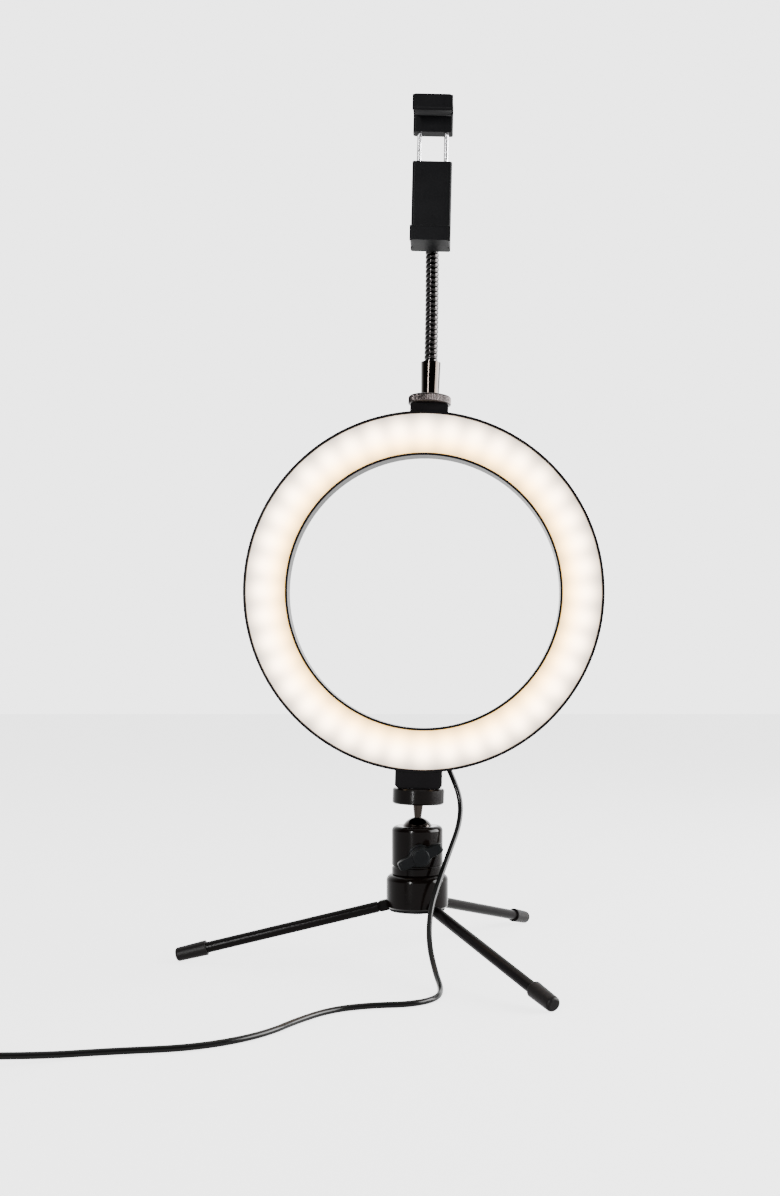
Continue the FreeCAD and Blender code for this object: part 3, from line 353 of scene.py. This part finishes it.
class Finish:
    """A material in the making: one Principled shader, and nodes added by one method."""

    def __init__(self, name, **constants):
        self.material = bpy.data.materials.new(name)
        self.material.use_nodes = True
        self.tree = self.material.node_tree
        self.shader = self.tree.nodes["Principled BSDF"]
        self.set(**constants)
        place = self.tree.nodes.new("ShaderNodeTexCoord")
        self.place = Field(self, place.outputs["Object"])

    def node(self, kind, settings=None, inputs=None, output=0):
        """Adds a node: its settings first, then the value or the link of each socket."""
        made = self.tree.nodes.new(kind)
        for key, value in (settings or {}).items():
            setattr(made, key, value)
        for key, value in (inputs or {}).items():
            if isinstance(value, Field):
                self.tree.links.new(value.socket, made.inputs[key])
            else:
                made.inputs[key].default_value = value
        return Field(self, made.outputs[output])

    def set(self, **sockets):
        """Sets or links the shader's own sockets; an underscore stands for a space."""
        for key, value in sockets.items():
            socket = self.shader.inputs[key.replace("_", " ")]
            if isinstance(value, Field):
                self.tree.links.new(value.socket, socket)
            else:
                colour = isinstance(value, tuple) and len(value) == 3
                socket.default_value = (*value, 1.0) if colour else value
        return self

    def noise(self, size, detail=3.0, place=None, roughness=0.5):
        """Cloudy noise of 0 to 1 whose patches are about size metres."""
        return self.node("ShaderNodeTexNoise", None, {"Vector": place or self.place, "Scale": 1 / size,
                                                      "Detail": detail, "Roughness": roughness})

    def blend(self, mask, low, high):
        """A colour between two, by a mask."""
        made = self.tree.nodes.new("ShaderNodeMix")
        made.data_type = "RGBA"
        self.tree.links.new(mask.socket, made.inputs["Factor"])
        for socket, value in zip((s for s in made.inputs if s.type == "RGBA"), (low, high)):
            if isinstance(value, Field):
                self.tree.links.new(value.socket, socket)
            else:
                socket.default_value = (*value, 1.0)
        return Field(self, next(s for s in made.outputs if s.type == "RGBA"))

    def bump(self, height, depth, strength=1.0):
        """Relief of the given depth in metres."""
        relief = self.node("ShaderNodeBump", None,
                           {"Height": height, "Distance": depth, "Strength": strength})
        return self.set(Normal=relief)

    def stretched(self, x=1.0, y=1.0, z=1.0, place=None):
        """Object coordinates multiplied along each axis."""
        return self.node("ShaderNodeMapping", None, {"Vector": place or self.place, "Scale": (x, y, z)})


def dress(finish, *names):
    """Gives CAD nodes, by name, a finish in all their material slots."""
    for name in names:
        target = nodes[name] if isinstance(name, str) else name
        if not target.material_slots:
            target.data.materials.append(finish.material)
        for slot in target.material_slots:
            slot.material = finish.material


floor_finish = Finish("floor_pale", Roughness=0.7, Specular_IOR_Level=0.0, Emission_Color=(1.0, 1.0, 1.0),
                      Emission_Strength=2.9)
floor_cloud = floor_finish.noise(0.4)
floor_finish.set(Base_Color=floor_finish.blend(floor_cloud, (0.12, 0.12, 0.12), (0.13, 0.13, 0.13)))
dress(floor_finish, floor)

# %% [markdown]
# ## Blacks
# Nearly everything is black, and each black is told by its gloss: moulded plastic
# with a faint unevenness, thick glossy paint with orange peel on the ball head and
# hub, dark chrome on what slides and turns, satin paint on the legs, rubber feet.
# All reflect less than real paint and plastic do, to stay dark on so bright a table.

# %% Glossy moulded plastic
def moulded(name, colour, roughness, grain, relief, specular=0.06):
    """Plastic: its colour and gloss wander a little, and a fine relief of the mould shows."""
    f = Finish(name, IOR=1.2, Specular_IOR_Level=specular * 3)
    cloud, fine = f.noise(9 * mm, 4), f.noise(grain, 2)
    lighter = tuple(c * 1.6 + 0.0002 for c in colour)
    f.set(Base_Color=f.blend(cloud, colour, lighter),
          Roughness=roughness + (cloud - 0.5) * 0.10 + (fine - 0.5) * 0.06)
    return f.bump(fine + cloud * 0.5, relief)


gloss_black = moulded("gloss_black", (0.0012, 0.0011, 0.0012), 0.17, 2.2 * mm, 0.02 * mm, 0.025)
matte_black = moulded("matte_black", (0.0006, 0.0006, 0.0007), 0.40, 0.35 * mm, 0.03 * mm, 0.04)
knob_black = moulded("knob_black", (0.0009, 0.0010, 0.0011), 0.36, 0.30 * mm, 0.04 * mm, 0.035)
foot_rubber = moulded("foot_rubber", (0.0010, 0.0008, 0.0008), 0.42, 0.25 * mm, 0.05 * mm, 0.06)
pad_rubber = moulded("pad_rubber", (0.0050, 0.0050, 0.0052), 0.66, 0.22 * mm, 0.05 * mm, 0.12)
nylon = moulded("nylon", (0.62, 0.60, 0.55), 0.45, 0.5 * mm, 0.01 * mm, 0.4)
print("moulded plastics: 6")

# %% Paint, dark chrome and bare metal
def painted(name):
    """Thick glossy paint: a near black glossy base, in one layer, with the relief of orange peel."""
    f = Finish(name, IOR=1.2, Specular_IOR_Level=0.17)
    peel, cloud = f.noise(0.9 * mm, 2), f.noise(6 * mm, 3)
    f.set(Base_Color=f.blend(cloud, (0.0004, 0.00025, 0.0002), (0.0009, 0.0006, 0.0005)),
          Roughness=0.15 + (cloud - 0.5) * 0.10)
    return f.bump(peel, 0.012 * mm)


def metal(name, dark, light, roughness, streak, metallic=1.0, stretch=(1, 1, 12), specular=0.5):
    """Metal, or thin paint over it where metallic is 0, with fine streaks along the way it was
    turned or drawn."""
    f = Finish(name, Metallic=metallic, IOR=1.25, Specular_IOR_Level=specular)
    lines = f.noise(streak, 3, f.stretched(*(1 / s for s in stretch)))
    cloud = f.noise(7 * mm, 3)
    f.set(Base_Color=f.blend(lines * 0.6 + cloud * 0.4, dark, light),
          Roughness=roughness + (lines - 0.5) * 0.10 + (cloud - 0.5) * 0.06)
    return f.bump(lines, 0.006 * mm)


painted_black = painted("painted_black")
black_chrome = metal("black_chrome", (0.009, 0.0073, 0.0062), (0.018, 0.0145, 0.0125), 0.10, 1.2 * mm)
satin_black_metal = metal("satin_black_metal", (0.0008, 0.0007, 0.0007), (0.0016, 0.0014, 0.0014),
                          0.22, 0.3 * mm, 0.0, (8, 8, 1), 0.05)
neck_black = metal("neck_black", (0.0070, 0.0064, 0.0064), (0.0130, 0.0120, 0.0120), 0.11, 1.5 * mm)
nut_black = metal("nut_black", (0.010, 0.0084, 0.0082), (0.020, 0.0165, 0.016), 0.30, 0.8 * mm, 0.9)
steel = metal("steel", (0.42, 0.42, 0.43), (0.62, 0.62, 0.63), 0.25, 0.2 * mm)
brass = metal("brass", (0.50, 0.34, 0.14), (0.72, 0.52, 0.24), 0.28, 0.2 * mm)
print("paint and metals: 7")

# %% [markdown]
# ## Inside the ring
# The back shell holds a white reflector, a white ring board with its LEDs, and the
# frosted front. They are seen only through the front as a soft pattern, yet each
# has its own finish, because a part may be opened.

# %% Finishes inside the ring and the controller
reflector_white = moulded("reflector_white", (0.80, 0.80, 0.79), 0.40, 0.6 * mm, 0.01 * mm)
board_white = moulded("board_white", (0.72, 0.73, 0.72), 0.35, 0.4 * mm, 0.01 * mm)
board_green = moulded("board_green", (0.015, 0.11, 0.04), 0.35, 0.4 * mm, 0.01 * mm)
led_yellow = moulded("led_yellow", (0.85, 0.62, 0.10), 0.30, 0.3 * mm, 0.01 * mm)
cord_black = moulded("cord_black", (0.0008, 0.0008, 0.0008), 0.18, 0.5 * mm, 0.004 * mm, 0.08)

# %% [markdown]
# ## The frosted front
# Forty pairs of LEDs stand behind a milky plastic, a warm one and a cool one in each
# pair. What shows is two soft bands that run into each other, the warm one nearer the
# hole, and a faint lighter patch over each pair. Radius and angle about the ring's
# centre give both, so a formula of a few named values does it, with no texture.

# %% The glowing diffuser
ring_low, ring_high = (np.array(v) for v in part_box("diffuser"))
ring_centre = (ring_low + ring_high) / 2
led_pairs, first_led = 40, math.radians(0.37)


GLOW = 11.0
warm_row, warm_spread, warm_tint = 82.3 * mm, 5.9 * mm, (0.50, 0.264, 0.014)
cool_row, cool_spread, cool_tint = 89.0 * mm, 7.1 * mm, (0.745, 0.573, 0.418)


def glowing_front():
    """Emission is the sum of two soft bands, one for each row of LEDs: a band is its tint times
    e to the power of minus the squared distance from its row, measured in its spread. A small
    ripple of one wave for each pair of LEDs multiplies both."""
    f = Finish("diffuser_white", Roughness=0.35, Base_Color=(0.10, 0.10, 0.10), Specular_IOR_Level=0.1,
               Emission_Strength=GLOW)
    centred = f.node("ShaderNodeVectorMath", {"operation": "SUBTRACT"}, {0: f.place, 1: tuple(ring_centre)})
    x, z = (f.node("ShaderNodeSeparateXYZ", None, {"Vector": centred}, output=n) for n in (0, 2))
    radius = (x * x + z * z) ** 0.5
    angle = x.math("ARCTAN2", z)
    wave = (angle * led_pairs - first_led * led_pairs).math("COSINE")
    outer = radius.between(84 * mm, 93 * mm)
    patchy = f.noise(5.5 * mm, 2)
    ripple = 1 + wave * (0.12 + outer * 0.14) + (patchy - 0.5) * 0.08

    def band(row, spread, tint):
        away = (radius - row) / spread
        return f.node("ShaderNodeVectorMath", {"operation": "SCALE"},
                      {0: tint, "Scale": (away * away * -1).math("EXPONENT")})

    both = f.node("ShaderNodeVectorMath", {"operation": "ADD"},
                  {0: band(warm_row, warm_spread, warm_tint), 1: band(cool_row, cool_spread, cool_tint)})
    rose = f.blend(f.noise(7 * mm, 1), (1.0, 0.985, 0.96), (1.0, 1.0, 1.0))
    tinted = f.node("ShaderNodeVectorMath", {"operation": "MULTIPLY"}, {0: both, 1: rose})
    lit = f.node("ShaderNodeVectorMath", {"operation": "SCALE"}, {0: tinted, "Scale": ripple})
    return f.set(Emission_Color=lit)


diffuser_white = glowing_front()

# %% Dress the CAD nodes
dress(gloss_black, "back_shell", "lower_block", "upper_block", "cord_gland",
      "controller_bottom", "controller_top")
dress(matte_black, "neck_knuckle", "ball_nut", "clamp_base", "clamp_slider", "plug_body", "hub_plate")
dress(knob_black, "lock_knob")
dress(painted_black, "hub_body", "head_base", "head_housing", "lock_disc")
dress(black_chrome, "head_ball", "head_stem", "head_collar", "neck_ferrule")
dress(satin_black_metal, "leg_left", "leg_rear", "leg_front")
dress(neck_black, "neck_link_1", "neck_link_2", "neck_link_3", "neck_link_4")
dress(foot_rubber, "foot_left", "foot_rear", "foot_front", "coil_tie",
      "button_power", "button_brighter", "button_dimmer")
dress(pad_rubber, "lower_pad", "upper_pad")
dress(nut_black, "top_nut")
dress(steel, "hub_screw", "leg_pins", "lock_screw", "shell_screws",
      "guide_rods", "clamp_springs", "plug_shell")
dress(brass, "threaded_inserts")
dress(nylon, "ball_seat", "brake_shoe", "ball_liner")
dress(reflector_white, "reflector")
dress(board_white, "led_board")
dress(board_green, "controller_board")
dress(led_yellow, "leds")
dress(diffuser_white, "diffuser")
dress(cord_black, cord_upper, cord_waist, cord_run, cord_stored)

# %% [markdown]
# ## The gooseneck
# A gooseneck is two springs wound into each other: a round wire with a wedge-shaped
# wire in its grooves, so its outside is a steep screw of round ribs. It could be a
# wire swept round a helix, but a tube whose radius swells and dips once per turn is
# lighter and closed. It bends at five places, so it is cut at the middle of each
# link.

# %% The ribbed tube in five lengths
bend_places = np.array([joint_at[n] for n in
                        ("neck_bend_1", "neck_sway_1", "neck_bend_2", "neck_sway_2", "neck_bend_3")])
neck_bodies = ["head", "link_1", "link_2", "link_3", "link_4", "knuckle"]
head_axis = unit(np.array(next(j for j in frame["joints"] if j["name"] == "top_nut_spin")["axis"], float))
up_axis = np.array((0.0, 0.0, 1.0))
rib_pitch, rib_depth, neck_r = 2.66 * mm, 0.55 * mm, 3.78 * mm


def even_steps(line, step):
    """The same line with its points a fixed step apart along it."""
    run = np.concatenate([[0], np.cumsum(np.linalg.norm(np.diff(line, axis=0), axis=1))])
    places = np.linspace(0, run[-1], int(run[-1] / step) + 1)
    return np.stack([np.interp(places, run, line[:, k]) for k in range(3)], -1), places


neck_route = np.vstack([bend_places[0] - head_axis * 1.2 * mm, bend_places,
                        bend_places[-1] + up_axis * 1.0 * mm])
neck_line, neck_run = even_steps(spline_line(neck_route, 16), rib_pitch / 12)


def ribbed_tube(name, first, last, columns=28):
    """Radius = outside radius less the rib depth times one minus a rounded wave; the wave's phase
    goes on with the length and back with the angle, which winds the ribs into a screw."""
    turn = np.arange(columns) * 2 * np.pi / columns
    phase = neck_run[first:last + 1, None] / rib_pitch * 2 * np.pi - turn[None]
    wave = np.abs(np.cos(phase / 2)) ** 0.55
    radius = neck_r - rib_depth * (1 - wave)
    return piece(name, along(neck_line[first:last + 1], radius, columns, (0, -1, 0)), sharp=70)


middles = (bend_places[:-1] + bend_places[1:]) / 2
cut_rows = [0, *(nearest(neck_line, p) for p in middles), len(neck_line) - 1]
blend_ends = [bend_places[0], *middles, bend_places[-1]]
for n in range(5):
    length = ribbed_tube("gooseneck_%d" % (n + 1), cut_rows[n], cut_rows[n + 1])
    neck_bodies[n + 1]
    blend_ends[n + 1]
    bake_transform(length)
    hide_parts("neck_link_%d" % min(n + 1, 4))
    dress(neck_black, length)

# %% [markdown]
# ## The knurled nut and the wing knob
# The nut under the gooseneck has fine upright knurling between two chamfers. The
# lock knob is a moulded wing: a round boss with two lobes, thick enough for thumb
# and finger. Both are one profile turned round their axis; the knurl and the lobes
# are only a radius that changes with the angle.

# %% The knurled nut
def knurl(profile, angle, teeth=84, depth=0.022):
    """One, less a small dip between the teeth, on the rows at the full radius only."""
    full = (profile[:, 0] > 11.6 * mm)[:, None]
    return 1 - full * depth * np.abs(np.sin(angle * teeth / 2))[None]


nut_profile = np.array([
    (3.2, 0.3), (3.5, 0.0), (7.0, 0.0), (11.2, 0.0), (11.45, 0.12), (11.88, 0.6), (11.9, 1.2),
    (11.9, 3.4), (11.88, 4.0), (11.45, 4.48), (11.2, 4.6), (7.0, 4.6), (3.5, 4.6), (3.2, 4.3)]) * mm
nut = piece("knurled_nut", turn_profile(nut_profile, joint_at["top_nut_spin"], head_axis, 84 * 6, knurl),
            loop_rows=True, sharp=50)
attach(nut, "top_nut")
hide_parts("top_nut")
dress(nut_black, nut)

# %% The wing knob
knob_axis = unit(np.array(next(j for j in frame["joints"] if j["name"] == "lock_turn")["axis"], float))
knob_right = unit(np.cross(up_axis, knob_axis))
wing_turn = math.radians(25.0)


def wing_outline(angle):
    """The boss's circle and a long rounded bar joined by a soft maximum of the two radii."""
    across, up = np.abs(np.cos(angle)) / 12.9, np.abs(np.sin(angle)) / (2.75 + 0.25 * np.cos(2 * angle))
    bar = (across ** 5 + up ** 5) ** -0.2
    return (5.5 ** 7 + bar ** 7) ** (1 / 7) * mm


def knob_grid(columns=192):
    """Rows from the housing outwards: first the round boss, then the winged outline drawn in by
    an inset at each edge, then the domed boss over it."""
    angle = np.arange(columns) * 2 * np.pi / columns
    boss, wing = np.full(columns, 6.1 * mm), wing_outline(angle)
    rows = [(boss * 0, 0.0), (boss - 0.5 * mm, 0.0), (boss, 0.4), (boss, 2.2), (np.minimum(boss, wing), 2.45),
            (np.minimum(boss, wing) + (wing - np.minimum(boss, wing)) * 0.9 - 0.2 * mm, 2.55),
            (wing - 0.25 * mm, 2.65), (wing, 3.2), (wing, 5.8), (wing - 0.05 * mm, 8.2),
            (wing - 0.35 * mm, 8.9),
            (wing - 0.9 * mm, 9.3), (wing * 0.82 - 0.6 * mm, 9.35), (np.full(columns, 5.0 * mm), 9.2),
            (np.full(columns, 4.7 * mm), 9.3), (np.full(columns, 4.45 * mm), 9.8),
            (np.full(columns, 4.1 * mm), 9.98),
            (np.full(columns, 2.6 * mm), 9.9), (boss * 0, 9.85)]
    radius = np.stack([r for r, _ in rows])
    height = np.array([h for _, h in rows]) * mm
    spread = angle[None] + wing_turn
    flat = np.cos(spread)[..., None] * knob_right + np.sin(spread)[..., None] * up_axis
    return joint_at["lock_turn"] + height[:, None, None] * knob_axis + radius[..., None] * flat


knob = piece("wing_knob", knob_grid(), sharp=38)
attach(knob, "knob")
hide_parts("lock_knob")
dress(knob_black, knob)

# %% [markdown]
# ## Screws, pads, symbols and the plug's tongue
# Small things tell that a part is real: cross-recessed screws in the ring's back,
# ribbed rubber on the jaws, plain raised symbols on the three buttons, and the
# contact tongue inside the USB plug's metal shell.

# %% Cross-recessed screws in the ring's back
lean = math.atan2(head_axis[0], head_axis[2])
back_low, back_high = (np.array(v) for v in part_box("back_shell"))
back_centre = (back_low + back_high) / 2


def screw_grid(centre, columns=48):
    """A shank and a pan head turned about Y; the head's face sinks where a cross lies over it."""
    profile = np.array([
        (0, 4.0), (0.9, 3.9), (0.95, 1.0), (1.95, 1.0), (1.98, 0.3), (1.8, 0.05), (1.5, 0), (1.3, 0),
        (1.15, 0), (1.0, 0), (0.8, 0), (0.6, 0), (0.45, 0), (0.34, 0), (0.2, 0), (0, 0)])
    angle = np.arange(columns) * 2 * np.pi / columns
    across, up = profile[:, :1] * np.cos(angle), profile[:, :1] * np.sin(angle)
    arm = (np.minimum(np.abs(across), np.abs(up)) < 0.3) & (np.hypot(across, up) < 1.2)
    sunk = np.where(arm & (profile[:, 1:] == 0), 0.55, 0.0)
    depth = profile[:, 1:] + sunk
    return centre + np.stack([across, -depth, up], -1) * mm


spots = math.radians(30) + np.arange(6) * math.radians(60)
screw_r = 87.75 * mm
screw_depth = np.full(len(spots), back_high[1] - back_centre[1])
screw_places = back_centre + np.stack([screw_r * np.sin(spots + lean), screw_depth,
                                       screw_r * np.cos(spots + lean)], -1)
for n, spot in enumerate(screw_places):
    screw = piece("shell_screw_%d" % (n + 1), screw_grid(spot), sharp=30)
    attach(screw, "head")
    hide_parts("shell_screws")
    dress(steel, screw)

# %% Ribbed pads on the jaws
clamp_ball = joint_at["clamp_turn"]
clamp_lean = math.radians(1.3)


def leaned(points, centre, angle):
    """Points turned to the right about Y through a centre."""
    off = points - centre
    x = off[..., 0] * math.cos(angle) + off[..., 2] * math.sin(angle)
    z = -off[..., 0] * math.sin(angle) + off[..., 2] * math.cos(angle)
    return centre + np.stack([x, off[..., 1], z], -1)


def ribbed_pad(name, low_z, side, ribs=8, columns=96):
    """A flat strip whose section is a rounded oblong with a rounded wave along its working face."""
    half_y, half_z = 4.68 * mm, 0.75 * mm
    angle = np.arange(columns) * 2 * np.pi / columns
    y = np.sign(np.cos(angle)) * np.abs(np.cos(angle)) ** 0.22 * half_y
    z = np.sign(np.sin(angle)) * np.abs(np.sin(angle)) ** 0.22 * half_z
    y = np.where(np.abs(z) > half_z * 0.8, np.arcsin(np.clip(np.cos(angle), -1, 1)) / (np.pi / 2) * half_y, y)
    face = (z * side > half_z * 0.8) & (np.abs(y) < half_y * 0.93)
    z = z - side * np.where(face, 0.38 * mm * (0.5 - 0.5 * np.cos(y / half_y * np.pi * ribs)) ** 0.7, 0)
    x = np.array([-9.75, -9.6, 0.0, 9.6, 9.75]) * mm
    shrink = np.array([0.93, 1, 1, 1, 0.93])
    grid = np.stack([np.broadcast_to(x[:, None], (5, columns)), shrink[:, None] * y, shrink[:, None] * z], -1)
    middle = np.array((clamp_ball[0], pad_y, low_z + half_z))
    return piece(name, leaned(grid + middle, clamp_ball, clamp_lean), sharp=60)


pad_low, pad_high = (np.array(v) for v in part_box("lower_pad"))
pad_y = (pad_low[1] + pad_high[1]) / 2
clamp_bottom = clamp_ball[2] - 20.5 * mm
for name, low_z, side, body, node in (("pad_lower", clamp_bottom + 5 * mm, 1, "clamp", "lower_pad"),
                                      ("pad_upper", clamp_bottom + 71.3 * mm, -1, "slider", "upper_pad")):
    pad = ribbed_pad(name, low_z, side)
    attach(pad, body)
    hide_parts(node)
    dress(pad_rubber, pad)

# %% Symbols on the buttons
symbol_print = moulded("symbol_print", (0.45, 0.46, 0.47), 0.5, 0.3 * mm, 0.01 * mm)
controller_heading = math.radians(200.1)
ahead = np.array((math.cos(controller_heading), math.sin(controller_heading), 0.0))
beside = np.array((-ahead[1], ahead[0], 0.0))


def stroke(line, width=0.45 * mm, height=0.09 * mm):
    """A raised stroke: a flat oval section carried along a line on the button's top."""
    line = np.asarray(line, float)
    heading = unit(np.gradient(line, axis=0))
    side = np.cross(up_axis, heading)
    angle = np.arange(12) * 2 * np.pi / 12
    end = np.linspace(0, 1, len(line))
    taper = np.clip(np.minimum(end, 1 - end) * len(line), 0.35, 1)[:, None, None]
    return line[:, None] + taper * (np.cos(angle)[:, None] * side[:, None] * width / 2
                                    + np.sin(angle)[:, None] * up_axis * height)


def straight(a, b, steps=9):
    """Evenly spaced points from a to b."""
    return a + (b - a) * np.linspace(0, 1, steps)[:, None]


for node in ("button_power", "button_brighter", "button_dimmer"):
    low, high = (np.array(v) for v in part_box(node))
    top = np.array(((low[0] + high[0]) / 2, (low[1] + high[1]) / 2, high[2]))
    reach = 1.5 * mm
    strokes = [straight(top - ahead * reach, top + ahead * reach)]
    if node == "button_brighter":
        strokes.append(straight(top - beside * reach, top + beside * reach))
    if node == "button_power":
        bow = np.linspace(0.6, 2 * np.pi - 0.6, 33)[:, None]
        strokes = [top + reach * (np.cos(bow) * beside + np.sin(bow) * ahead),
                   straight(top + beside * 0.3 * reach, top + beside * 1.35 * reach)]
    for n, line in enumerate(strokes):
        mark = piece("mark_%s_%d" % (node[7:], n + 1), stroke(line), sharp=60)
        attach(mark, node)
        dress(symbol_print, mark)

# %% The tongue in the plug
plug_heading = math.radians(40.0)
plug_ahead = np.array((math.cos(plug_heading), math.sin(plug_heading), 0.0))
plug_beside = np.array((-plug_ahead[1], plug_ahead[0], 0.0))
shell_low, shell_high = (np.array(v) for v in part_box("plug_shell"))
shell_centre = (shell_low + shell_high) / 2


def bar(name, centre, length, width, height, columns=24):
    """An oblong bar along the plug: a squared-off oval section drawn in a little at both ends."""
    angle = np.arange(columns) * 2 * np.pi / columns
    y = np.sign(np.cos(angle)) * np.abs(np.cos(angle)) ** 0.25 * width / 2
    z = np.sign(np.sin(angle)) * np.abs(np.sin(angle)) ** 0.25 * height / 2
    x = np.array((-0.5, -0.48, 0.48, 0.5)) * length
    inset = np.array((0.9, 1, 1, 0.9))[:, None, None]
    section = y[:, None] * plug_beside + z[:, None] * up_axis
    return piece(name, centre + x[:, None, None] * plug_ahead + inset * section[None], sharp=50)


tongue_centre = shell_centre + up_axis * 0.75 * mm - plug_ahead * 0.6 * mm
tongue = bar("plug_tongue", tongue_centre, 10.4 * mm, 10.6 * mm, 1.7 * mm)
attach(tongue, "stand")
dress(nylon, tongue)
for n, off in enumerate((-3.5, -1.0, 1.0, 3.5)):
    contact = bar("plug_contact_%d" % (n + 1), shell_centre - up_axis * 0.13 * mm + plug_beside * off * mm
                  + plug_ahead * 0.8 * mm, 7.0 * mm, 1.1 * mm, 0.16 * mm, 12)
    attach(contact, "stand")
    dress(brass, contact)
